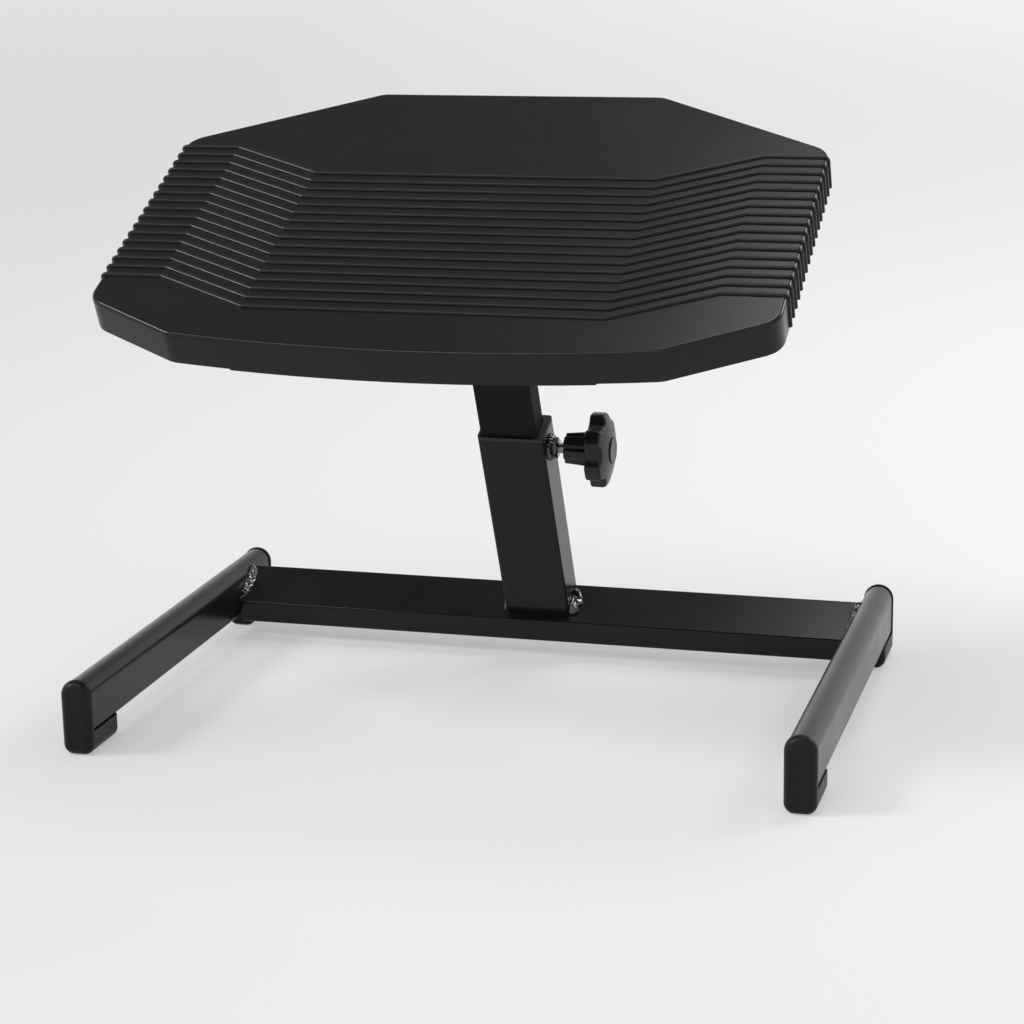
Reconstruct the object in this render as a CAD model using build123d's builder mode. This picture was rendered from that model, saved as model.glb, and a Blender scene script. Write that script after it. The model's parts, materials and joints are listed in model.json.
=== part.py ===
from build123d import *

import os
from math import cos, radians, sin

# Adjustable footrest: a ribbed footplate on a leaning telescopic post, clamped by a star knob,
# on an H-shaped foot of two arched tubes and one crossbar. Millimetres, +Z up, +X to the right
# of someone facing the footrest, +Y away from the person who uses it.

# Foot: two arched tubes running front to back
leg_spacing = 486.0
leg_width = 20.0
leg_height = 35.0
leg_wall = 1.5
leg_corner = 2.0
leg_inner_corner = 0.5
base_length = 346.0

# End caps with their glides
glide_height = 16.0
glide_length = 40.0
glide_end_round = 4.0
cap_face = 6.5
cap_rim = 0.7
cap_round = 5.6
cap_corner_extra = 1.4
spigot_length = 20.0
spigot_wall = 2.2
spigot_clearance = 0.2

# Crossbar, turned about its length so that the post stands square on it and leans forward
lean = 24.0
crossbar_depth = 44.5
crossbar_height = 20.0
crossbar_wall = 1.5
crossbar_corner = 2.0
crossbar_behind_middle = 124.0
crossbar_lift = 12.0

# Outer post
post_width = 48.0
post_depth = 29.5
post_wall = 1.5
post_corner = 2.5
post_setback = 0.25

# Inner post, held against the left wall of the outer post by the clamp
inner_wall = 1.5
inner_corner = 2.0
slide_gap = 0.3
inner_front_gap = 1.5
inner_rear_gap = 3.5

# Heights of the middle of the footplate above the floor
plate_height_low = 240.0
plate_height_high = 360.0
stored_drop = 8.0
end_stop_gap = 0.6

# Guide on the lower end of the inner post
guide_height = 12.0
guide_clearance = 0.4
guide_spigot = 18.0
guide_spigot_clearance = 0.2

# Bush in the mouth of the outer post
bush_lip = 2.5
bush_length = 33.4
bush_clearance = 0.3

# Clamp
clamp_drop = 14.7
stud_diameter = 8.0
thread_clearance = 0.05
stud_hole_clearance = 0.3
hex_sides = 6
nut_flats = 13.0
nut_height = 6.5
nut_weld_leg = 3.4
nut_weld_height = 4.0
nut_weld_slope = 38.0
pad_size = 15.0
pad_thickness = 1.8
pad_corner = 1.5
pad_contact_gap = 0.1
pad_retreat = 1.8
pad_window_clearance = 0.3
stud_tip_gap = 0.05

# Star knob
knob_gap = 5.4
hub_length = 18.3
hub_small_diameter = 21.5
hub_large_diameter = 25.0
hub_flutes = 6
hub_flute_turn = 21.0
hub_flute_radius = 2.8
hub_flute_depth = 1.6
head_diameter = 53.0
head_edge = 10.6
head_dome = 5.0
head_edge_round = 1.8
head_face_round = 3.0
head_lobes = 6
head_scallop_turn = 36.0
head_scallop_radius = 9.0
head_scallop_depth = 4.6
lobe_round = 4.2
stud_in_hub = 14.0
knob_cap_diameter = 19.0
knob_cap_depth = 2.4
knob_cap_clearance = 0.1
knob_cap_proud = 0.3
knob_cap_edge_round = 0.2

# Footplate
plate_width = 452.0
plate_depth = 300.0
plate_bow = 10.5
plate_rim = 22.5
plate_top_wall = 3.6
plate_skirt_wall = 3.2
plate_corner = 18.0
plate_edge_round = 2.5
front_cut_across = 67.0
front_cut_along = 35.5
back_cut_across = 125.0
back_cut_along = 66.5
plate_forward = 19.25
front_lip_drop = 1.0

# Tread ribs of the footplate
rib_pitch = 10.0
rib_radius = 1.6
rib_front_margin = 27.5
rib_back_margin = 10.5
rib_step = 31.0
rib_fold_outer = 184.5
rib_fold_inner = 118.5

# Stiffening lattice and screw bosses under the footplate
lattice_pitch = 46.0
lattice_wall = 2.4
boss_diameter = 12.0
boss_hole_spare = 2.0

# Mounting plate and its screws
mount_width = 200.0
mount_depth = 130.0
mount_thickness = 3.0
mount_corner = 12.0
mount_weld_leg = 4.0
mount_weld_slope = 42.0
screw_edge = 17.0
screw_diameter = 5.0
screw_length = 9.0
screw_clearance = 0.05
screw_hole_clearance = 0.4
screw_head_diameter = 9.5
screw_head_height = 3.4
screw_head_round = 1.2
screw_recess_diameter = 3.4
screw_recess_depth = 1.8
washer_diameter = 13.0
washer_thickness = 1.2

# Weld beads
leg_weld_leg = 4.5
post_weld_leg = 5.5

# Places worked out from the sizes above
lean_cos = cos(radians(lean))
lean_sin = sin(radians(lean))
leg_length = base_length - 2 * cap_face
cap_width = leg_width + 2 * cap_rim
cap_bottom_corner = cap_round + cap_corner_extra
cap_height = glide_height + leg_height + cap_rim
bore_width = post_width - 2 * post_wall
bore_depth = post_depth - 2 * post_wall
inner_width = bore_width - slide_gap - pad_contact_gap - pad_thickness - pad_retreat
inner_depth = bore_depth - inner_front_gap - inner_rear_gap
inner_x = slide_gap - (bore_width - inner_width) / 2
inner_y = post_setback + inner_front_gap - (bore_depth - inner_depth) / 2
plate_y = inner_y - plate_forward
crossbar_middle_height = glide_height + crossbar_lift
plate_height = plate_height_high - stored_drop
plate_rise = (plate_height - crossbar_middle_height - plate_y * lean_sin) / lean_cos
travel_down = (plate_height - plate_height_low) / lean_cos
travel_up = stored_drop / lean_cos
post_foot = crossbar_height / 2
guide_foot = travel_down + end_stop_gap + crossbar_wall - crossbar_height / 2
guide_top = guide_foot + guide_height
bush_foot = guide_top + travel_up + end_stop_gap
post_top = bush_foot + bush_length
mount_top = plate_rise - plate_rim
mount_foot = mount_top - mount_thickness
clamp_rise = post_top - clamp_drop
stud_radius = stud_diameter / 2
screw_across = mount_width - 2 * screw_edge
screw_along = mount_depth - 2 * screw_edge
rib_front = front_cut_along + rib_front_margin - plate_depth / 2
rib_back = plate_depth / 2 - back_cut_along - rib_back_margin
rib_count = int((rib_back - rib_front) / rib_pitch) + 1
rib_middle = rib_back - rib_pitch * (rib_count - 1) / 2

# The whole object's box is centred on the origin front to back, so the legs' middle is set back
plate_front_edge = (
    -crossbar_behind_middle
    - plate_y * lean_cos
    + plate_rise * lean_sin
    + (plate_depth / 2 + plate_bow - plate_edge_round) * lean_cos
    - plate_edge_round * lean_sin
    + plate_edge_round
)
legs_middle = (plate_front_edge - base_length / 2) / 2

# Planes: the post's own frame has X across, Y up the slope of the crossbar and Z up the post
post_plane = Plane(
    origin=(0, legs_middle + crossbar_behind_middle, crossbar_middle_height),
    x_dir=(1, 0, 0),
    z_dir=(0, -lean_sin, lean_cos),
)
bar_plane = Plane(origin=post_plane.origin, x_dir=(0, lean_cos, lean_sin), z_dir=(1, 0, 0))
plate_plane = Plane(
    origin=post_plane.from_local_coords((inner_x, plate_y, plate_rise)),
    x_dir=post_plane.x_dir,
    z_dir=post_plane.z_dir,
)
clamp_plane = Plane(
    origin=post_plane.from_local_coords((post_width / 2, post_setback, clamp_rise)),
    x_dir=(0, lean_cos, lean_sin),
    z_dir=(1, 0, 0),
)

os.makedirs("parts", exist_ok=True)


def arched_section(width, height, corner):
    """Flat-bottomed section with a half-round top, its middle on the bottom line."""
    spring = height - width / 2
    with BuildSketch() as section:
        with BuildLine():
            Polyline((-width / 2, spring), (-width / 2, 0), (width / 2, 0), (width / 2, spring))
            ThreePointArc((width / 2, spring), (0, height), (-width / 2, spring))
        make_face()
        fillet(section.vertices().group_by(Axis.Y)[0], corner)
    return section.sketch


def leg_plane(across, height):
    """Upright plane across one leg at the middle of its length."""
    return Plane(
        origin=(across * leg_spacing / 2, legs_middle, height),
        x_dir=(1, 0, 0),
        z_dir=(0, -1, 0),
    )


def plate_outline(inset):
    """Eight-sided outline of the footplate with a bowed front edge, drawn in by an inset."""
    half_width = plate_width / 2
    half_depth = plate_depth / 2
    front_half = half_width - front_cut_across
    back_half = half_width - back_cut_across
    with BuildSketch() as outline:
        with BuildLine():
            Polyline(
                (front_half, -half_depth),
                (half_width, -half_depth + front_cut_along),
                (half_width, half_depth - back_cut_along),
                (back_half, half_depth),
                (-back_half, half_depth),
                (-half_width, half_depth - back_cut_along),
                (-half_width, -half_depth + front_cut_along),
                (-front_half, -half_depth),
            )
            ThreePointArc(
                (-front_half, -half_depth), (0, -half_depth - plate_bow), (front_half, -half_depth)
            )
        make_face()
        fillet(outline.vertices(), plate_corner)
        if inset > 0:
            offset(amount=-inset, mode=Mode.REPLACE)
    return outline.sketch


# Legs
leg_inner_width = leg_width - 2 * leg_wall
leg_inner_height = leg_height - 2 * leg_wall
for side, across in (("left", -1), ("right", 1)):
    with BuildPart() as leg:
        with BuildSketch(leg_plane(across, glide_height)):
            add(arched_section(leg_width, leg_height, leg_corner))
        extrude(amount=leg_length / 2, both=True)
        with BuildSketch(leg_plane(across, glide_height + leg_wall)):
            add(arched_section(leg_inner_width, leg_inner_height, leg_inner_corner))
        extrude(amount=leg_length / 2, both=True, mode=Mode.SUBTRACT)
    leg.part.label = f"{side}_leg"
    export_step(leg.part, f"parts/{side}_leg.step")

# End caps, each with a spigot in the tube and a glide that reaches back under it
spigot_width = leg_inner_width - 2 * spigot_clearance
spigot_height = leg_inner_height - 2 * spigot_clearance
spigot_lift = glide_height + leg_wall + spigot_clearance
for end, along in (("front", -1), ("rear", 1)):
    for side, across in (("left", -1), ("right", 1)):
        cap_plane = Plane(
            origin=(across * leg_spacing / 2, legs_middle + along * leg_length / 2, 0),
            x_dir=(-along, 0, 0),
            z_dir=(0, along, 0),
        )
        outward = Axis(cap_plane.origin, cap_plane.z_dir)
        with BuildPart() as cap:
            with BuildSketch(cap_plane):
                add(arched_section(cap_width, cap_height, cap_bottom_corner))
            extrude(amount=cap_face)
            fillet(cap.faces().sort_by(outward)[-1].edges(), cap_round)
            with BuildSketch(cap_plane):
                add(arched_section(cap_width, cap_height, cap_bottom_corner))
                with Locations((0, glide_height)):
                    Rectangle(
                        cap_width, cap_height, align=(Align.CENTER, Align.MIN), mode=Mode.SUBTRACT
                    )
            extrude(amount=-glide_length)
            glide_end = cap.faces().sort_by(outward)[0]
            fillet(glide_end.edges().sort_by(Axis.Z)[:-1], glide_end_round)
            with BuildSketch(cap_plane):
                with Locations((0, spigot_lift)):
                    add(arched_section(spigot_width, spigot_height, leg_corner))
                offset(amount=-spigot_wall, mode=Mode.SUBTRACT)
            extrude(amount=-spigot_length)
        cap.part.label = f"{end}_{side}_cap"
        export_step(cap.part, f"parts/{end}_{side}_cap.step")

# Crossbar, open at the top under the post so that the inner post can drop into it
crossbar_length = leg_spacing - leg_width
with BuildPart() as crossbar:
    with BuildSketch(bar_plane):
        RectangleRounded(crossbar_depth, crossbar_height, crossbar_corner)
        offset(amount=-crossbar_wall, mode=Mode.SUBTRACT)
    extrude(amount=crossbar_length / 2, both=True)
    with BuildSketch(post_plane.offset(post_foot)):
        with Locations((0, post_setback)):
            Rectangle(bore_width, bore_depth)
    extrude(amount=-crossbar_height / 2, mode=Mode.SUBTRACT)
crossbar.part.label = "crossbar"
export_step(crossbar.part, "parts/crossbar.step")

# Welds between the crossbar and the legs, on its upper and lower faces
leg_weld_length = crossbar_depth - 2 * crossbar_corner
for side, across in (("left", -1), ("right", 1)):
    with BuildPart() as leg_weld:
        for face in (-1, 1):
            bead_plane = Plane(
                origin=post_plane.from_local_coords(
                    (across * crossbar_length / 2, -leg_weld_length / 2, face * crossbar_height / 2)
                ),
                x_dir=(-across, 0, 0),
                z_dir=post_plane.y_dir,
            )
            rise = across * face * leg_weld_leg
            with BuildSketch(bead_plane):
                with BuildLine():
                    Polyline(
                        (-leg_width / 2, 0), (leg_weld_leg, 0), (0, rise), (-leg_width / 2, rise), close=True
                    )
                make_face()
            extrude(amount=leg_weld_length)
        with BuildSketch(leg_plane(across, glide_height)):
            add(arched_section(leg_width, leg_height, leg_corner))
        extrude(amount=leg_length / 2, both=True, mode=Mode.SUBTRACT)
        with BuildSketch(Plane.XY):
            with Locations((across * leg_spacing / 2, legs_middle)):
                Rectangle(leg_spacing, base_length)
        extrude(amount=glide_height, mode=Mode.SUBTRACT)
    leg_weld.part.label = f"{side}_leg_weld"
    export_step(leg_weld.part, f"parts/{side}_leg_weld.step")

# Outer post, with a hole for the clamp stud in its right wall
with BuildPart() as outer_post:
    with BuildSketch(post_plane.offset(post_foot)):
        with Locations((0, post_setback)):
            RectangleRounded(post_width, post_depth, post_corner)
        offset(amount=-post_wall, mode=Mode.SUBTRACT)
    extrude(amount=post_top - post_foot)
    with BuildSketch(clamp_plane):
        Circle(stud_radius + stud_hole_clearance)
    extrude(amount=-post_width / 2, mode=Mode.SUBTRACT)
outer_post.part.label = "outer_post"
export_step(outer_post.part, "parts/outer_post.step")

# Weld beads at the foot of the outer post, one along each side
post_weld_length = post_depth - 2 * post_corner
with BuildPart() as post_weld:
    for across in (-1, 1):
        bead_plane = Plane(
            origin=post_plane.from_local_coords(
                (across * post_width / 2, post_setback - post_weld_length / 2, post_foot)
            ),
            x_dir=(across, 0, 0),
            z_dir=post_plane.y_dir,
        )
        with BuildSketch(bead_plane):
            with BuildLine():
                Polyline((0, 0), (post_weld_leg, 0), (0, -across * post_weld_leg), close=True)
            make_face()
        extrude(amount=post_weld_length)
post_weld.part.label = "post_weld"
export_step(post_weld.part, "parts/post_weld.step")

# Clamp nut welded to the right side of the outer post
with BuildPart() as clamp_nut:
    with BuildSketch(clamp_plane):
        RegularPolygon(nut_flats / 2, hex_sides, major_radius=False)
        Circle(stud_radius + thread_clearance, mode=Mode.SUBTRACT)
    extrude(amount=nut_height)
clamp_nut.part.label = "clamp_nut"
export_step(clamp_nut.part, "parts/clamp_nut.step")

# Weld ring round the clamp nut
with BuildPart() as clamp_nut_weld:
    with BuildSketch(clamp_plane):
        Circle(nut_flats / 2 + nut_weld_leg)
    extrude(amount=nut_weld_height, taper=nut_weld_slope)
    with BuildSketch(clamp_plane):
        RegularPolygon(nut_flats / 2, hex_sides, major_radius=False)
    extrude(amount=nut_weld_height, mode=Mode.SUBTRACT)
clamp_nut_weld.part.label = "clamp_nut_weld"
export_step(clamp_nut_weld.part, "parts/clamp_nut_weld.step")

# Bush in the mouth of the outer post: a lip on its rim and a skirt on three sides of the inner post
mouth_width = inner_width + 2 * slide_gap
mouth_depth = inner_depth + 2 * slide_gap
with BuildPart() as post_bush:
    with BuildSketch(post_plane.offset(post_top)):
        with Locations((0, post_setback)):
            RectangleRounded(post_width, post_depth, post_corner)
    extrude(amount=bush_lip)
    with BuildSketch(post_plane.offset(post_top)):
        with Locations((0, post_setback)):
            RectangleRounded(
                bore_width - 2 * bush_clearance, bore_depth - 2 * bush_clearance, post_corner - post_wall
            )
    extrude(amount=-bush_length)
    with BuildSketch(post_plane.offset(bush_foot)):
        with Locations((inner_x, inner_y)):
            RectangleRounded(mouth_width, mouth_depth, inner_corner + slide_gap)
    extrude(amount=bush_length + bush_lip, mode=Mode.SUBTRACT)
    with BuildSketch(clamp_plane):
        Rectangle(pad_size + 2 * pad_window_clearance, pad_size + 2 * pad_window_clearance)
    extrude(amount=-post_width / 2, mode=Mode.SUBTRACT)
post_bush.part.label = "post_bush"
export_step(post_bush.part, "parts/post_bush.step")

# Inner post
with BuildPart() as inner_post:
    with BuildSketch(post_plane.offset(guide_top)):
        with Locations((inner_x, inner_y)):
            RectangleRounded(inner_width, inner_depth, inner_corner)
        offset(amount=-inner_wall, mode=Mode.SUBTRACT)
    extrude(amount=mount_foot - guide_top)
inner_post.part.label = "inner_post"
export_step(inner_post.part, "parts/inner_post.step")

# Guide plugged into the lower end of the inner post
with BuildPart() as post_guide:
    with BuildSketch(post_plane.offset(guide_foot)):
        with Locations((0, post_setback)):
            RectangleRounded(
                bore_width - 2 * guide_clearance, bore_depth - 2 * guide_clearance, post_corner - post_wall
            )
    extrude(amount=guide_height)
    with BuildSketch(post_plane.offset(guide_top)):
        with Locations((inner_x, inner_y)):
            Rectangle(
                inner_width - 2 * inner_wall - 2 * guide_spigot_clearance,
                inner_depth - 2 * inner_wall - 2 * guide_spigot_clearance,
            )
    extrude(amount=guide_spigot)
post_guide.part.label = "inner_post_guide"
export_step(post_guide.part, "parts/inner_post_guide.step")

# Steel mounting plate on the head of the inner post
with BuildPart() as mounting_plate:
    with BuildSketch(post_plane.offset(mount_foot)):
        with Locations((inner_x, inner_y)):
            RectangleRounded(mount_width, mount_depth, mount_corner)
            with GridLocations(screw_across, screw_along, 2, 2):
                Circle(screw_diameter / 2 + screw_hole_clearance, mode=Mode.SUBTRACT)
    extrude(amount=mount_thickness)
mounting_plate.part.label = "mounting_plate"
export_step(mounting_plate.part, "parts/mounting_plate.step")

# Weld bead between the inner post and the mounting plate
with BuildPart() as mount_weld:
    with BuildSketch(post_plane.offset(mount_foot)):
        with Locations((inner_x, inner_y)):
            RectangleRounded(
                inner_width + 2 * mount_weld_leg,
                inner_depth + 2 * mount_weld_leg,
                inner_corner + mount_weld_leg,
            )
    extrude(amount=-mount_weld_leg, taper=mount_weld_slope)
    with BuildSketch(post_plane.offset(mount_foot)):
        with Locations((inner_x, inner_y)):
            RectangleRounded(inner_width, inner_depth, inner_corner)
    extrude(amount=-mount_weld_leg, mode=Mode.SUBTRACT)
mount_weld.part.label = "mounting_plate_weld"
export_step(mount_weld.part, "parts/mounting_plate_weld.step")

# One tread rib: up the left wall, over the edge and in a zigzag to the middle, then mirrored
half_plate = plate_width / 2
rib_end = half_plate - plate_edge_round
with BuildPart() as tread_rib:
    with BuildLine(Plane.XZ):
        Line((-half_plate, -plate_rim), (-half_plate, -plate_edge_round))
        CenterArc((-rib_end, -plate_edge_round), plate_edge_round, 180, -90)
    with BuildSketch(Plane.XY.offset(-plate_rim)):
        with Locations((-half_plate, 0)):
            Circle(rib_radius)
    sweep()
    with BuildLine():
        Polyline(
            (-rib_end, 0), (-rib_fold_outer, 0), (-rib_fold_inner, -rib_step), (0, -rib_step)
        )
    with BuildSketch(Plane.YZ.offset(-rib_end)):
        Circle(rib_radius)
    sweep(transition=Transition.RIGHT)
    mirror(about=Plane.YZ)

# Footplate: a hollow moulding with tread ribs on top and a lattice with screw bosses underneath
with BuildPart(plate_plane) as footplate:
    with BuildSketch(plate_plane):
        add(plate_outline(0))
    extrude(amount=-plate_rim)
    plate_top = footplate.faces().sort_by(Axis(plate_plane.origin, plate_plane.z_dir))[-1]
    fillet(plate_top.edges(), plate_edge_round)
    with BuildSketch(plate_plane.offset(-plate_rim)):
        add(plate_outline(plate_skirt_wall))
    extrude(amount=plate_rim - plate_top_wall, mode=Mode.SUBTRACT)
    with BuildSketch(plate_plane.offset(-plate_rim)):
        add(plate_outline(0))
        add(plate_outline(plate_skirt_wall), mode=Mode.SUBTRACT)
        with Locations((0, -plate_depth / 2)):
            Rectangle(2 * rib_fold_inner, front_cut_along + plate_bow, mode=Mode.INTERSECT)
    extrude(amount=-front_lip_drop)
    with BuildSketch(plate_plane.offset(-plate_top_wall)):
        with GridLocations(lattice_pitch, plate_depth, int(plate_width / lattice_pitch), 1):
            Rectangle(lattice_wall, 2 * plate_depth)
        with GridLocations(plate_width, lattice_pitch, 1, int(plate_depth / lattice_pitch)):
            Rectangle(2 * plate_width, lattice_wall)
        with Locations((0, plate_forward)):
            with GridLocations(screw_across, screw_along, 2, 2):
                Circle(boss_diameter / 2)
        add(plate_outline(plate_skirt_wall), mode=Mode.INTERSECT)
    extrude(amount=plate_top_wall - plate_rim)
    with BuildSketch(plate_plane.offset(-plate_rim)):
        with Locations((0, plate_forward)):
            with GridLocations(screw_across, screw_along, 2, 2):
                Circle(screw_diameter / 2 + screw_clearance)
    extrude(amount=screw_length + boss_hole_spare, mode=Mode.SUBTRACT)
    with Locations((0, rib_middle)):
        with GridLocations(plate_width, rib_pitch, 1, rib_count):
            add(tread_rib.part)
footplate.part.label = "footplate"
export_step(footplate.part, "parts/footplate.step")

# Screws and washers that hold the footplate to the mounting plate from below
with BuildPart() as washers:
    with BuildSketch(post_plane.offset(mount_foot)):
        with Locations((inner_x, inner_y)):
            with GridLocations(screw_across, screw_along, 2, 2):
                Circle(washer_diameter / 2)
                Circle(screw_diameter / 2 + screw_hole_clearance, mode=Mode.SUBTRACT)
    extrude(amount=-washer_thickness)
washers.part.label = "footplate_washers"
export_step(washers.part, "parts/footplate_washers.step")

screw_seat = mount_foot - washer_thickness
with BuildPart() as screws:
    with BuildSketch(post_plane.offset(screw_seat)):
        with Locations((inner_x, inner_y)):
            with GridLocations(screw_across, screw_along, 2, 2):
                Circle(screw_head_diameter / 2)
    extrude(amount=-screw_head_height)
    screw_heads = screws.faces().group_by(Axis(post_plane.origin, post_plane.z_dir))[0]
    fillet(screw_heads.edges(), screw_head_round)
    with BuildSketch(post_plane.offset(screw_seat)):
        with Locations((inner_x, inner_y)):
            with GridLocations(screw_across, screw_along, 2, 2):
                Circle(screw_diameter / 2)
    extrude(amount=washer_thickness + mount_thickness + screw_length)
    with BuildSketch(post_plane.offset(screw_seat - screw_head_height)):
        with Locations((inner_x, inner_y)):
            with GridLocations(screw_across, screw_along, 2, 2):
                RegularPolygon(screw_recess_diameter / 2, hex_sides)
    extrude(amount=screw_recess_depth, mode=Mode.SUBTRACT)
screws.part.label = "footplate_screws"
export_step(screws.part, "parts/footplate_screws.step")

# Pressure pad between the stud and the inner post
pad_inner_face = inner_x + inner_width / 2 + pad_contact_gap - post_width / 2
with BuildPart() as pressure_pad:
    with BuildSketch(clamp_plane.offset(pad_inner_face)):
        RectangleRounded(pad_size, pad_size, pad_corner)
    extrude(amount=pad_thickness)
pressure_pad.part.label = "pressure_pad"
export_step(pressure_pad.part, "parts/pressure_pad.step")

# Clamp stud, fixed in the hub of the knob
stud_tip = pad_inner_face + pad_thickness + stud_tip_gap
hub_foot = nut_height + knob_gap
hub_head = hub_foot + hub_length
with BuildPart() as clamp_stud:
    with BuildSketch(clamp_plane.offset(stud_tip)):
        Circle(stud_radius)
    extrude(amount=hub_foot + stud_in_hub - stud_tip)
clamp_stud.part.label = "clamp_stud"
export_step(clamp_stud.part, "parts/clamp_stud.step")

# Star knob: a domed lobed head on a fluted hub
head_radius = head_diameter / 2
knob_cap_radius = knob_cap_diameter / 2
dome_foot = hub_head + head_edge
knob_face = dome_foot + head_dome
with BuildPart() as clamp_knob:
    with BuildSketch(clamp_plane.offset(hub_head)) as star:
        Circle(head_radius)
        scallop_reach = head_radius + head_scallop_radius - head_scallop_depth
        with PolarLocations(scallop_reach, head_lobes, head_scallop_turn):
            Circle(head_scallop_radius, mode=Mode.SUBTRACT)
        fillet(star.vertices(), lobe_round)
    extrude(amount=head_edge + head_dome)
    fillet(clamp_knob.faces().sort_by(Axis.X)[0].edges(), head_edge_round)
    with BuildSketch(Plane(origin=clamp_plane.origin, x_dir=clamp_plane.x_dir, z_dir=-clamp_plane.y_dir)):
        with BuildLine():
            Polyline((0, knob_face), (0, hub_head), (head_radius, hub_head), (head_radius, dome_foot))
            TangentArc((0, knob_face), (head_radius, dome_foot), tangent=(1, 0))
        make_face()
    revolve(axis=Axis(clamp_plane.origin, clamp_plane.z_dir), mode=Mode.INTERSECT)
    fillet(clamp_knob.faces().sort_by(Axis.X)[-1].edges(), head_face_round)
    with BuildSketch(clamp_plane.offset(hub_foot)):
        Circle(hub_small_diameter / 2)
    with BuildSketch(clamp_plane.offset(hub_head)):
        Circle(hub_large_diameter / 2)
    loft()
    with BuildSketch(clamp_plane.offset(hub_foot)):
        flute_reach = hub_small_diameter / 2 + hub_flute_radius - hub_flute_depth
        with PolarLocations(flute_reach, hub_flutes, hub_flute_turn):
            Circle(hub_flute_radius)
    extrude(amount=hub_length, mode=Mode.SUBTRACT)
    with BuildSketch(clamp_plane.offset(hub_foot)):
        Circle(stud_radius + thread_clearance)
    extrude(amount=stud_in_hub + thread_clearance, mode=Mode.SUBTRACT)
    with BuildSketch(clamp_plane.offset(knob_face)):
        Circle(knob_cap_radius + knob_cap_clearance)
    extrude(amount=-knob_cap_depth, mode=Mode.SUBTRACT)
clamp_knob.part.label = "clamp_knob"
export_step(clamp_knob.part, "parts/clamp_knob.step")

# Round cap that closes the middle of the knob
with BuildPart() as knob_cap:
    with BuildSketch(clamp_plane.offset(knob_face - knob_cap_depth)):
        Circle(knob_cap_radius)
    extrude(amount=knob_cap_depth + knob_cap_proud)
    fillet(knob_cap.faces().sort_by(Axis.X)[-1].edges(), knob_cap_edge_round)
knob_cap.part.label = "knob_cap"
export_step(knob_cap.part, "parts/knob_cap.step")
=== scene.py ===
import json
import math

import bmesh
import bpy
from mathutils import Matrix, Vector, noise


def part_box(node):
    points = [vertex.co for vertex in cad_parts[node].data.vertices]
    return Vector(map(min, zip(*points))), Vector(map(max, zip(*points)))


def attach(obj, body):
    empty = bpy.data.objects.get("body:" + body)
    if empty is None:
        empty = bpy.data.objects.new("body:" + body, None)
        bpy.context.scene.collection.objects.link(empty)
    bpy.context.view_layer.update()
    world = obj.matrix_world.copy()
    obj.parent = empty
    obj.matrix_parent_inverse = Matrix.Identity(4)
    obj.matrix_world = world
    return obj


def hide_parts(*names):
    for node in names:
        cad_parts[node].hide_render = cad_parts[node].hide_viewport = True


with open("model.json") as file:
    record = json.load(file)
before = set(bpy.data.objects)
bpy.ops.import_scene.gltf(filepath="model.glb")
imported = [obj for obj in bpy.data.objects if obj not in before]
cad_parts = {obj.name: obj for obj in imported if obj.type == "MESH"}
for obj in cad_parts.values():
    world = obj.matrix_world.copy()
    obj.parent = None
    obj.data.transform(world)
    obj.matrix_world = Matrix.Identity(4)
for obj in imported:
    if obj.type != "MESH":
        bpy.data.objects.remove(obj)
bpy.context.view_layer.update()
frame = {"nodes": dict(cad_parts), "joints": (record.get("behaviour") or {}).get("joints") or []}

# Legs: two arched steel tubes, drawn to section, cut square and powder coated in satin black.
# The coat has a fine orange peel, slow clouds in its gloss and a few specks of dust.
grain = bpy.data.node_groups.new("surface_grain", "ShaderNodeTree")
for label, kind in (
    ("Colour", "NodeSocketColor"),
    ("Worn Colour", "NodeSocketColor"),
    ("Grain", "NodeSocketFloat"),
    ("Cloud", "NodeSocketFloat"),
    ("Roughness Low", "NodeSocketFloat"),
    ("Roughness High", "NodeSocketFloat"),
    ("Dust", "NodeSocketFloat"),
):
    grain.interface.new_socket(label, in_out="INPUT", socket_type=kind)
for label, kind in (
    ("Colour", "NodeSocketColor"),
    ("Roughness", "NodeSocketFloat"),
    ("Height", "NodeSocketFloat"),
):
    grain.interface.new_socket(label, in_out="OUTPUT", socket_type=kind)
grain_in = grain.nodes.new("NodeGroupInput")
grain_out = grain.nodes.new("NodeGroupOutput")
place = grain.nodes.new("ShaderNodeTexCoord")
peel = grain.nodes.new("ShaderNodeTexNoise")
peel.inputs["Detail"].default_value = 2.0
peel.inputs["Roughness"].default_value = 0.6
cloud = grain.nodes.new("ShaderNodeTexNoise")
cloud.inputs["Detail"].default_value = 6.0
cloud.inputs["Roughness"].default_value = 0.62
cloud_edge = grain.nodes.new("ShaderNodeMapRange")
cloud_edge.inputs["From Min"].default_value = 0.34
cloud_edge.inputs["From Max"].default_value = 0.68
gloss_range = grain.nodes.new("ShaderNodeMapRange")
speck = grain.nodes.new("ShaderNodeTexNoise")
speck.inputs["Scale"].default_value = 420.0
speck.inputs["Detail"].default_value = 3.0
speck_edge = grain.nodes.new("ShaderNodeMapRange")
speck_edge.inputs["From Min"].default_value = 0.66
speck_edge.inputs["From Max"].default_value = 0.78
dust_share = grain.nodes.new("ShaderNodeMath")
dust_share.operation = "MULTIPLY"
worn_mix = grain.nodes.new("ShaderNodeMix")
worn_mix.data_type = "RGBA"
dust_mix = grain.nodes.new("ShaderNodeMix")
dust_mix.data_type = "RGBA"
dust_mix.inputs["B"].default_value = (0.2, 0.2, 0.2, 1)
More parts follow.
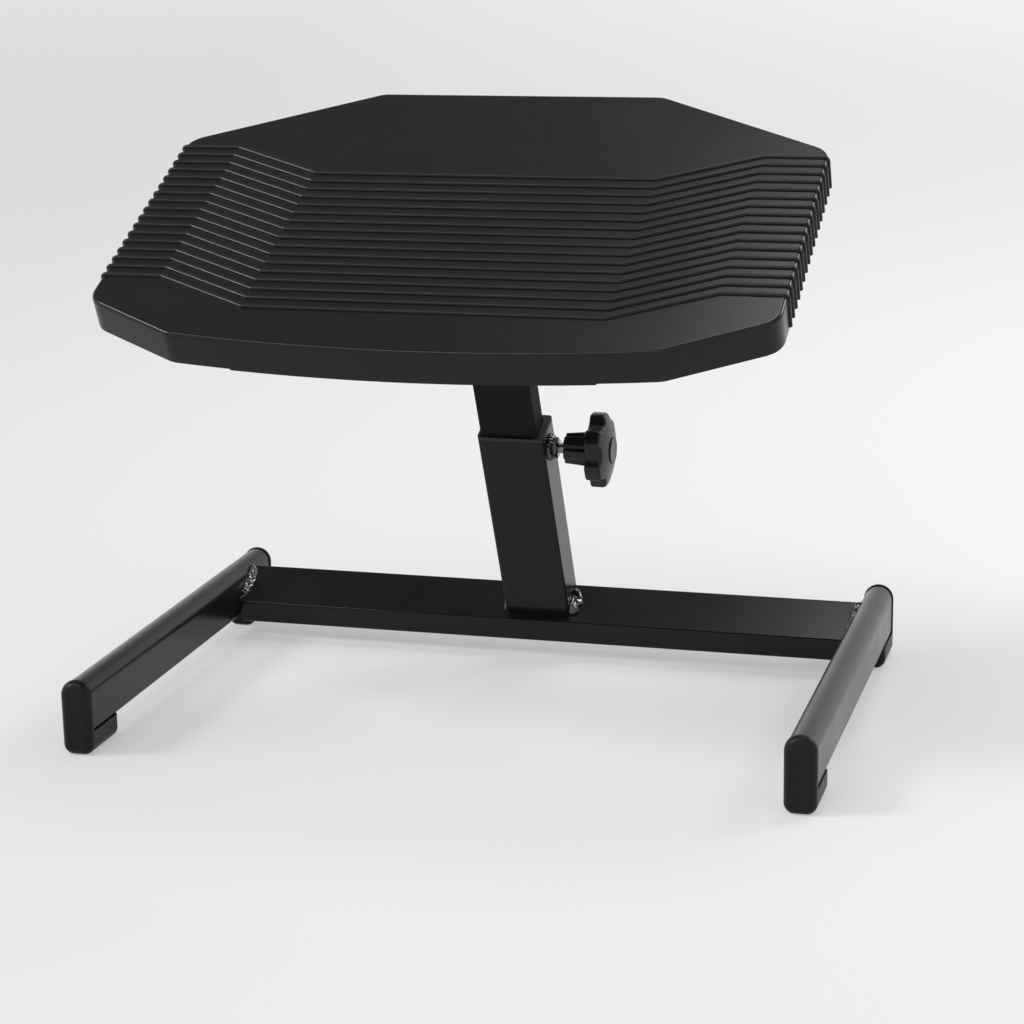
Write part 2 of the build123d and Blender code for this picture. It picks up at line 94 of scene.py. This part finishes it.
for a, b in (
    (place.outputs["Object"], peel.inputs["Vector"]),
    (place.outputs["Object"], cloud.inputs["Vector"]),
    (place.outputs["Object"], speck.inputs["Vector"]),
    (grain_in.outputs["Grain"], peel.inputs["Scale"]),
    (grain_in.outputs["Cloud"], cloud.inputs["Scale"]),
    (cloud.outputs["Fac"], cloud_edge.inputs["Value"]),
    (cloud_edge.outputs["Result"], gloss_range.inputs["Value"]),
    (grain_in.outputs["Roughness Low"], gloss_range.inputs["To Min"]),
    (grain_in.outputs["Roughness High"], gloss_range.inputs["To Max"]),
    (cloud_edge.outputs["Result"], worn_mix.inputs["Factor"]),
    (grain_in.outputs["Colour"], worn_mix.inputs["A"]),
    (grain_in.outputs["Worn Colour"], worn_mix.inputs["B"]),
    (speck.outputs["Fac"], speck_edge.inputs["Value"]),
    (speck_edge.outputs["Result"], dust_share.inputs[0]),
    (grain_in.outputs["Dust"], dust_share.inputs[1]),
    (dust_share.outputs["Value"], dust_mix.inputs["Factor"]),
    (worn_mix.outputs["Result"], dust_mix.inputs["A"]),
    (dust_mix.outputs["Result"], grain_out.inputs["Colour"]),
    (gloss_range.outputs["Result"], grain_out.inputs["Roughness"]),
    (peel.outputs["Fac"], grain_out.inputs["Height"]),
):
    grain.links.new(a, b)


def grained(name, colour, worn, grains, clouds, gloss, dust, bump, depth=0.0002, specular=0.5):
    """A finish on the shared grain. Grains and clouds are counted per metre, depth is in metres."""
    finish = bpy.data.materials.new(name)
    finish.use_nodes = True
    tree = finish.node_tree
    shader = tree.nodes["Principled BSDF"]
    shader.inputs["Specular IOR Level"].default_value = specular
    group = tree.nodes.new("ShaderNodeGroup")
    group.node_tree = grain
    group.inputs["Colour"].default_value = (*colour, 1)
    group.inputs["Worn Colour"].default_value = (*worn, 1)
    group.inputs["Grain"].default_value = grains
    group.inputs["Cloud"].default_value = clouds
    group.inputs["Roughness Low"].default_value = gloss[0]
    group.inputs["Roughness High"].default_value = gloss[1]
    group.inputs["Dust"].default_value = dust
    relief = tree.nodes.new("ShaderNodeBump")
    relief.inputs["Strength"].default_value = bump
    relief.inputs["Distance"].default_value = depth
    tree.links.new(group.outputs["Colour"], shader.inputs["Base Color"])
    tree.links.new(group.outputs["Roughness"], shader.inputs["Roughness"])
    tree.links.new(group.outputs["Height"], relief.inputs["Height"])
    tree.links.new(relief.outputs["Normal"], shader.inputs["Normal"])
    return finish


def dress(finish, *names):
    """Gives CAD nodes their finish."""
    for name in names:
        frame["nodes"][name].material_slots[0].material = finish


powder_coat = grained(
    "powder_coat",
    colour=(0.005, 0.005, 0.0053),
    worn=(0.008, 0.008, 0.0084),
    grains=1300,
    clouds=14,
    gloss=(0.2, 0.28),
    dust=0.1,
    bump=0.12,
    specular=0.17,
)
powder_shader = powder_coat.node_tree.nodes["Principled BSDF"]
powder_shader.inputs["Coat Weight"].default_value = 0.1
powder_shader.inputs["Coat Roughness"].default_value = 0.16
dress(powder_coat, "left_leg", "right_leg")

# End caps with their glides: one black moulding each, pushed into the tube with a ribless spigot.
# The tool left a fine matt grain, and the plastic has a slightly cold cast beside the coat.
cap_plastic = grained(
    "cap_plastic",
    colour=(0.0055, 0.0059, 0.007),
    worn=(0.008, 0.0085, 0.01),
    grains=1500,
    clouds=30,
    gloss=(0.34, 0.44),
    dust=0.08,
    bump=0.2,
    specular=0.17,
)
dress(cap_plastic, "front_left_cap", "front_right_cap", "rear_left_cap", "rear_right_cap")

# Crossbar: rectangular steel tube, welded between the legs along its upper and lower faces.
# Each bead is laid in short overlapping pools, so its surface ripples and its ends are drawn out.
dress(powder_coat, "crossbar")
coated_weld = grained(
    "coated_weld",
    colour=(0.006, 0.006, 0.006),
    worn=(0.009, 0.009, 0.009),
    grains=500,
    clouds=120,
    gloss=(0.12, 0.2),
    dust=0.0,
    bump=0.02,
    depth=0.0003,
)
weld_shader = coated_weld.node_tree.nodes["Principled BSDF"]
weld_shader.inputs["Coat Weight"].default_value = 1.0
weld_shader.inputs["Coat Roughness"].default_value = 0.05
up_post = Vector(frame["joints"][0]["axis"])
up_slope = Vector((0, up_post.z, -up_post.y))
rightward = Vector((1, 0, 0))
bead_step = 0.0004


def add_piece(name, shape, finish, body, replaced):
    """Turns a finished mesh into a piece that stands for a CAD node and rides with its body."""
    bmesh.ops.recalc_face_normals(shape, faces=shape.faces)
    mesh = bpy.data.meshes.new(name)
    shape.to_mesh(mesh)
    shape.free()
    mesh.materials.append(finish)
    piece = bpy.data.objects.new(name, mesh)
    bpy.context.collection.objects.link(piece)
    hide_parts(replaced)
    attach(piece, body)


def skin(shape, rings, closed):
    """Joins neighbouring rings of points with smooth faces."""
    pairs = list(zip(rings, rings[1:]))
    if closed:
        pairs.append((rings[-1], rings[0]))
    for near, far in pairs:
        for j, point in enumerate(near):
            j_next = (j + 1) % len(near)
            shape.faces.new((point, near[j_next], far[j_next], far[j])).smooth = True


def bead_reach(corner, pools, across, run_at):
    """Share of a bead's full reach: pools with bowed fronts and slow lumps, across from 0 to 1."""
    front_bow, run_shift = 0.35, 0.17
    lumps_a_metre, lumps_across, lumps_a_run = 150, 1.44, 3.1
    flat, ripple_share, lump_share = 0.84, 0.16, 0.3
    front = pools + front_bow * math.sin(math.pi * across) + run_shift * run_at
    ripple = abs(math.sin(math.pi * front)) ** 0.5
    drift = Vector((lumps_across * across, lumps_a_run * run_at, 0))
    lump = noise.noise(corner * lumps_a_metre + drift)
    return flat + ripple_share * ripple + lump_share * lump


def lay_bead(name, body, replaced, runs, pool):
    """Weld beads in corners: a run is a list of (corner, reach on one side, reach on the other)."""
    bite = 0.2
    fullness = 1.6
    end_reach, end_rise = 0.3, 5
    turns = 12
    metal = bmesh.new()
    for run_at, (stations, closed) in enumerate(runs):
        rings = []
        for k, (corner, first, second) in enumerate(stations):
            along = 0.5 if closed else k / (len(stations) - 1)
            drawn = min(1.0, end_reach + end_rise * min(along, 1 - along))
            ring = [corner - bite * (first + second)]
            for turn in range(turns + 1):
                across = turn / turns
                reach = drawn * bead_reach(corner, k * bead_step / pool, across, run_at)
                c = math.cos(math.radians(90 * across))
                s = math.sin(math.radians(90 * across))
                if 0 < turn < turns:
                    reach *= (c ** fullness + s ** fullness) ** (-1 / fullness)
                ring.append(corner + reach * (c * first + s * second))
            rings.append([metal.verts.new(p) for p in ring])
        skin(metal, rings, closed)
        if not closed:
            metal.faces.new(rings[0][::-1])
            metal.faces.new(rings[-1])
    add_piece(name, metal, coated_weld, body, replaced)


bar_low, bar_high = (Vector(corner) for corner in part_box("crossbar"))
bar_middle = (bar_low + bar_high) / 2
bar_half_height = 0.010
leg_spring = 0.041
leg_round = 0.010
leg_bead = 0.0052
leg_pool = 0.0066
upper_run = (-0.0192, 0.0203)
lower_run = (0.004, 0.0203)
for side, across in (("left", -1), ("right", 1)):
    runs = []
    for face, (start, end) in ((1, upper_run), (-1, lower_run)):
        stations = []
        count = round((end - start) / bead_step)
        for k in range(count + 1):
            slope = start + (end - start) * k / count
            corner = bar_middle + up_slope * slope + up_post * face * bar_half_height
            rise = max(0.0, corner.z + leg_bead / 2 - leg_spring)
            corner.x = across * (bar_high.x + leg_round - math.sqrt(leg_round ** 2 - rise ** 2))
            stations.append((corner, -across * leg_bead * rightward, face * leg_bead * up_post))
        runs.append((stations, False))
    lay_bead(side + "_leg_bead", "base", side + "_leg_weld", runs, leg_pool)

# Outer post: rectangular steel tube standing square on the crossbar, in the same coat as the legs.
# It is held by one weld bead along each of its narrow sides.
dress(powder_coat, "outer_post")
post_half_width = 0.024
post_setback = 0.00025
post_bead_half = 0.0134
post_bead_right = 0.0066
post_bead_left = 0.0040
post_pool = 0.0088
runs = []
for across, post_bead in ((1, post_bead_right), (-1, post_bead_left)):
    stations = []
    foot = bar_middle + up_post * bar_half_height + across * post_half_width * rightward
    count = round(2 * post_bead_half / bead_step)
    for k in range(count + 1):
        slope = post_setback - post_bead_half + 2 * post_bead_half * k / count
        corner = foot + up_slope * slope
        stations.append((corner, across * post_bead * rightward, post_bead * up_post))
    runs.append((stations, False))
lay_bead("post_foot_bead", "base", "post_weld", runs, post_pool)

# Clamp nut: a chamfered hexagon nut of steel, set against a hole in the post's right side.
# One heavy ring of weld holds it, and both are under the coat.
nut_low, nut_high = (Vector(corner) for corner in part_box("clamp_nut"))
clamp_axis = Vector((nut_low.x, (nut_low.y + nut_high.y) / 2, (nut_low.z + nut_high.z) / 2))
nut_half_flats = 0.0065
nut_height = nut_high.x - nut_low.x
nut_face_radius = 0.0060
nut_chamfer = math.radians(30)
nut_bore = 0.00415
nut_turns = 96


def around_clamp(turn):
    """Direction square to the clamp's axis, counted from up the slope."""
    return math.cos(turn) * up_slope + math.sin(turn) * up_post


def nut_radius(turn):
    """Distance from the clamp's axis to the nut's side."""
    side = math.tau / 6
    to_flat = side * round((turn - side / 2) / side) + side / 2
    return nut_half_flats / math.cos(turn - to_flat)


nut = bmesh.new()
sides = [[], [], [], []]
for k in range(nut_turns):
    turn = math.tau * k / nut_turns
    radius = nut_radius(turn)
    cut = (radius - nut_face_radius) * math.tan(nut_chamfer)
    for ring, distance, height in zip(
        sides,
        (radius, radius, nut_face_radius, nut_bore),
        (0.0, nut_height - cut, nut_height, nut_height),
    ):
        point = clamp_axis + height * rightward + distance * around_clamp(turn)
        ring.append(nut.verts.new(point))
skin(nut, sides, False)
for face in nut.faces:
    face.smooth = False
inner = [nut.verts.new(vert.co - nut_height * rightward) for vert in sides[3]]
skin(nut, [sides[3], inner, sides[0]], False)
add_piece("clamp_nut_chamfered", nut, coated_weld, "base", "clamp_nut")
nut_weld_radius = 0.0099
nut_weld_height = 0.0040
nut_weld_bite = 0.0002
nut_pool = 0.0030
stations = []
count = round(math.tau * nut_weld_radius / bead_step)
for k in range(count):
    turn = math.tau * k / count
    radius = nut_radius(turn) - nut_weld_bite
    outward = around_clamp(turn)
    corner = clamp_axis + radius * outward
    stations.append((corner, (nut_weld_radius - radius) * outward, nut_weld_height * rightward))
lay_bead("clamp_nut_bead", "base", "clamp_nut_weld", [(stations, True)], nut_pool)

# Bush in the mouth of the outer post, guide on the foot of the inner post and pressure pad.
# All three are dull black sliding plastic, snapped or plugged into place.
bush_plastic = grained(
    "bush_plastic",
    colour=(0.005, 0.005, 0.005),
    worn=(0.008, 0.008, 0.008),
    grains=1600,
    clouds=40,
    gloss=(0.45, 0.6),
    dust=0.05,
    bump=0.15,
)
dress(bush_plastic, "post_bush", "inner_post_guide", "pressure_pad")

# Inner post: rectangular steel tube that slides in the bush, in a thinner and duller coat.
# A steel plate is welded on its head, all the way round, and carries the footplate.
slide_coat = grained(
    "slide_coat",
    colour=(0.014, 0.014, 0.014),
    worn=(0.018, 0.018, 0.018),
    grains=1500,
    clouds=22,
    gloss=(0.5, 0.62),
    dust=0.08,
    bump=0.12,
    specular=0.03,
)
dress(slide_coat, "inner_post")
dress(powder_coat, "mounting_plate")
weld_low, weld_high = (Vector(corner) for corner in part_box("mounting_plate_weld"))
head = (weld_low + weld_high) / 2
inner_half_width = 0.0205
inner_half_depth = 0.01075
inner_corner = 0.002
corner_x = inner_half_width - inner_corner
corner_y = inner_half_depth - inner_corner
mount_bead = 0.0042
mount_pool = 0.0034
turns = []
for cx, cy, start in ((1, 1, 0), (-1, 1, 90), (-1, -1, 180), (1, -1, 270)):
    middle = head + cx * corner_x * rightward + cy * corner_y * up_slope
    for k in range(10):
        turn = math.radians(start + 10 * k)
        outward = math.cos(turn) * rightward + math.sin(turn) * up_slope
        turns.append((middle + mount_bead / 2 * up_post + inner_corner * outward, outward))
stations = []
for (near, near_out), (far, far_out) in zip(turns, turns[1:] + turns[:1]):
    count = max(1, round((far - near).length / bead_step))
    for k in range(count):
        outward = near_out.lerp(far_out, k / count).normalized()
        stations.append((near.lerp(far, k / count), mount_bead * outward, -mount_bead * up_post))
lay_bead("mounting_plate_bead", "platform", "mounting_plate_weld", [(stations, True)], mount_pool)

# Footplate: one hollow black moulding with half-round tread ribs, satin from a spark-eroded tool.
# A lattice and four screw bosses stiffen it underneath.
footplate_plastic = grained(
    "footplate_plastic",
    colour=(0.0078, 0.0078, 0.0082),
    worn=(0.0094, 0.0094, 0.0099),
    grains=2200,
    clouds=9,
    gloss=(0.235, 0.27),
    dust=0.06,
    bump=0.05,
    specular=0.24,
)
dress(footplate_plastic, "footplate")

# Screws and washers that hold the footplate from below: zinc-plated steel with button heads.
# The clamp stud is the same metal, with a rolled thread from its tip into the knob.
zinc_steel = grained(
    "zinc_steel",
    colour=(0.42, 0.42, 0.41),
    worn=(0.55, 0.55, 0.54),
    grains=2200,
    clouds=90,
    gloss=(0.2, 0.4),
    dust=0.0,
    bump=0.2,
    depth=0.0001,
)
zinc_steel.node_tree.nodes["Principled BSDF"].inputs["Metallic"].default_value = 1.0
dress(zinc_steel, "footplate_screws", "footplate_washers")
stud_low, stud_high = (Vector(corner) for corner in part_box("clamp_stud"))
stud_length = stud_high.x - stud_low.x
thread_pitch = 0.00125
thread_depth = 0.0007
thread_top, thread_flank = 1.3, 3.0
crest = 0.004
stud_sides = 40
steps_a_turn = 12
steps = round(stud_length / thread_pitch * steps_a_turn)
rolled = bmesh.new()
rings = []
for step in range(steps + 1):
    x = stud_low.x + stud_length * step / steps
    middle = Vector((x, clamp_axis.y, clamp_axis.z))
    lead = min(1.0, (x - stud_low.x) / thread_pitch)
    ring = []
    for k in range(stud_sides):
        turn = math.tau * k / stud_sides
        phase = (x / thread_pitch - turn / math.tau) % 1.0
        height = min(1.0, max(0.0, thread_top - thread_flank * abs(phase - 0.5)))
        radius = crest - thread_depth * (1 - height * lead)
        ring.append(rolled.verts.new(middle + radius * around_clamp(turn)))
    rings.append(ring)
skin(rolled, rings, False)
rolled.faces.new(rings[0][::-1])
rolled.faces.new(rings[-1])
add_piece("clamp_stud_thread", rolled, zinc_steel, "clamp_screw", "clamp_stud")

# Star knob: moulded on the stud in glass-filled black plastic, with a fluted hub and six lobes.
# A round cap of the same plastic is pressed in its middle.
knob_plastic = grained(
    "knob_plastic",
    colour=(0.009, 0.009, 0.009),
    worn=(0.014, 0.0138, 0.0132),
    grains=1800,
    clouds=60,
    gloss=(0.26, 0.38),
    dust=0.06,
    bump=0.2,
    specular=0.28,
)
dress(knob_plastic, "clamp_knob", "knob_cap")

# Floor: a wide sheet of pale paper, a little lighter towards the back and the right: its colour is
# painted lighter towards the back, and its glow, seen by the camera and in reflections, is painted
# lighter towards the right, as painted light for the fall of the studio light.
# It runs far past the picture, so that the coat has something pale to mirror.
floor_reach = 60.0
floor_shape = bmesh.new()
floor_shape.faces.new(
    [
        floor_shape.verts.new((x * floor_reach, y * floor_reach, 0.0))
        for x, y in ((-1, -1), (1, -1), (1, 1), (-1, 1))
    ]
)
floor_mesh = bpy.data.meshes.new("floor")
floor_shape.to_mesh(floor_mesh)
floor_shape.free()
floor = bpy.data.objects.new("floor", floor_mesh)
bpy.context.collection.objects.link(floor)
paper = bpy.data.materials.new("floor_paper")
paper.use_nodes = True
paper_tree = paper.node_tree
paper_shader = paper_tree.nodes["Principled BSDF"]
paper_shader.inputs["Roughness"].default_value = 0.8
paper_shader.inputs["Specular IOR Level"].default_value = 0.1
paper_place = paper_tree.nodes.new("ShaderNodeTexCoord")
paper_split = paper_tree.nodes.new("ShaderNodeSeparateXYZ")
# Painted light: the paper's colour ramps from darker near the object to lighter far back.
painted_back_light_ramp = paper_tree.nodes.new("ShaderNodeMapRange")
painted_back_light_ramp.interpolation_type = "SMOOTHSTEP"
painted_back_light_ramp.inputs["From Min"].default_value = -0.4
painted_back_light_ramp.inputs["From Max"].default_value = 8.0
paper_painted_light_mix = paper_tree.nodes.new("ShaderNodeMix")
paper_painted_light_mix.data_type = "RGBA"
paper_painted_light_mix.inputs["A"].default_value = (0.68, 0.68, 0.68, 1)
paper_painted_light_mix.inputs["B"].default_value = (0.96, 0.96, 0.965, 1)
paper_path = paper_tree.nodes.new("ShaderNodeLightPath")
paper_sharp = paper_tree.nodes.new("ShaderNodeMath")
paper_sharp.operation = "ADD"
paper_seen = paper_tree.nodes.new("ShaderNodeMath")
paper_seen.operation = "ADD"
paper_seen.use_clamp = True
paper_share = paper_tree.nodes.new("ShaderNodeMath")
paper_share.operation = "MULTIPLY"
paper_share.inputs[1].default_value = 0.4
paper_glow = paper_tree.nodes.new("ShaderNodeEmission")
paper_across = paper_tree.nodes.new("ShaderNodeVectorMath")
paper_across.operation = "DOT_PRODUCT"
paper_across.inputs[1].default_value = (0.96, 0.28, 0)
# Painted light: the glow ramps lighter towards the right.
painted_side_light_ramp = paper_tree.nodes.new("ShaderNodeMapRange")
painted_side_light_ramp.inputs["From Min"].default_value = -0.6
painted_side_light_ramp.inputs["From Max"].default_value = 1.5
painted_side_light_ramp.inputs["To Min"].default_value = 0.84
painted_side_light_ramp.inputs["To Max"].default_value = 1.16
paper_blend = paper_tree.nodes.new("ShaderNodeMixShader")
for a, b in (
    (paper_path.outputs["Is Camera Ray"], paper_sharp.inputs[0]),
    (paper_path.outputs["Is Glossy Ray"], paper_sharp.inputs[1]),
    (paper_sharp.outputs["Value"], paper_seen.inputs[0]),
    (paper_path.outputs["Is Transmission Ray"], paper_seen.inputs[1]),
    (paper_seen.outputs["Value"], paper_share.inputs[0]),
    (paper_share.outputs["Value"], paper_blend.inputs["Fac"]),
    (paper_shader.outputs["BSDF"], paper_blend.inputs[1]),
    (paper_glow.outputs["Emission"], paper_blend.inputs[2]),
    (paper_blend.outputs["Shader"], paper_tree.nodes["Material Output"].inputs["Surface"]),
    (paper_place.outputs["Object"], paper_split.inputs["Vector"]),
    (paper_place.outputs["Object"], paper_across.inputs[0]),
    (paper_across.outputs["Value"], painted_side_light_ramp.inputs["Value"]),
    (painted_side_light_ramp.outputs["Result"], paper_glow.inputs["Color"]),
    (paper_split.outputs["Y"], painted_back_light_ramp.inputs["Value"]),
    (painted_back_light_ramp.outputs["Result"], paper_painted_light_mix.inputs["Factor"]),
    (paper_painted_light_mix.outputs["Result"], paper_shader.inputs["Base Color"]),
):
    paper_tree.links.new(a, b)
floor_mesh.materials.append(paper)

# Soft studio light: two far sources and a long box in front give ribs and edges their glints.
# A box above and a box behind light the back and the welds.
# The room is pale at eye level and dark overhead.
lamp_distance = 3
for name, towards, spread, strength in (
    ("front_right_light", (0.35, -0.5, 0.8), 50, 0.3),
    ("left_light", (-0.73, -0.26, 0.63), 14, 1.3),
):
    lamp_data = bpy.data.lights.new(name, "SUN")
    lamp_data.angle = math.radians(spread)
    lamp_data.energy = strength
    lamp = bpy.data.objects.new(name, lamp_data)
    lamp.rotation_euler = (-Vector(towards)).to_track_quat("-Z", "Y").to_euler()
    lamp.location = Vector(towards) * lamp_distance
    bpy.context.collection.objects.link(lamp)
box_aim = Vector((0, 0, 0.3))
for name, spot, width, height, power in (
    ("top_box", (0.16, 0.74, 2.38), 0.8, 0.8, 12),
    ("back_box", (1.55, 1.4, 1.6), 0.6, 0.6, 14),
    ("front_box", (-0.8, -1.5, 2.7), 2.0, 0.3, 24),
):
    box_data = bpy.data.lights.new(name, "AREA")
    box_data.shape = "RECTANGLE"
    box_data.size = width
    box_data.size_y = height
    box_data.energy = power
    box = bpy.data.objects.new(name, box_data)
    box.location = spot
    box.rotation_euler = (box_aim - Vector(spot)).to_track_quat("-Z", "Y").to_euler()
    bpy.context.collection.objects.link(box)
world = bpy.data.worlds.new("studio")
world.use_nodes = True
sky = world.node_tree
sky_place = sky.nodes.new("ShaderNodeTexCoord")
sky_split = sky.nodes.new("ShaderNodeSeparateXYZ")
sky_range = sky.nodes.new("ShaderNodeMapRange")
sky_range.interpolation_type = "SMOOTHSTEP"
sky_range.inputs["From Min"].default_value = 0.3
sky_range.inputs["From Max"].default_value = 0.66
sky_mix = sky.nodes.new("ShaderNodeMix")
sky_mix.data_type = "RGBA"
sky_mix.inputs["A"].default_value = (1.0, 1.0, 1.0, 1)
sky_mix.inputs["B"].default_value = (0.2, 0.2, 0.2, 1)
for a, b in (
    (sky_place.outputs["Generated"], sky_split.inputs["Vector"]),
    (sky_split.outputs["Z"], sky_range.inputs["Value"]),
    (sky_range.outputs["Result"], sky_mix.inputs["Factor"]),
    (sky_mix.outputs["Result"], sky.nodes["Background"].inputs["Color"]),
):
    sky.links.new(a, b)
bpy.context.scene.world = world

# Camera: a long lens, a little to the right of the front and above the footplate.
# Its place, aim and slight roll come from a fit to the corners of the real object.
camera_place = (0.5011, -1.6965, 0.6062)
camera_yaw = math.radians(16.0)
camera_pitch = math.radians(90 - 14.81)
camera_roll = math.radians(-1.07)
camera_data = bpy.data.cameras.new("camera")
camera_data.sensor_width = 36.0
camera_data.lens = 93.6
camera = bpy.data.objects.new("camera", camera_data)
camera.matrix_world = (
    Matrix.Translation(camera_place)
    @ Matrix.Rotation(camera_yaw, 4, "Z")
    @ Matrix.Rotation(camera_pitch, 4, "X")
    @ Matrix.Rotation(camera_roll, 4, "Z")
)
bpy.context.collection.objects.link(camera)
bpy.context.scene.camera = camera
bpy.context.scene.view_settings.view_transform = "Standard"
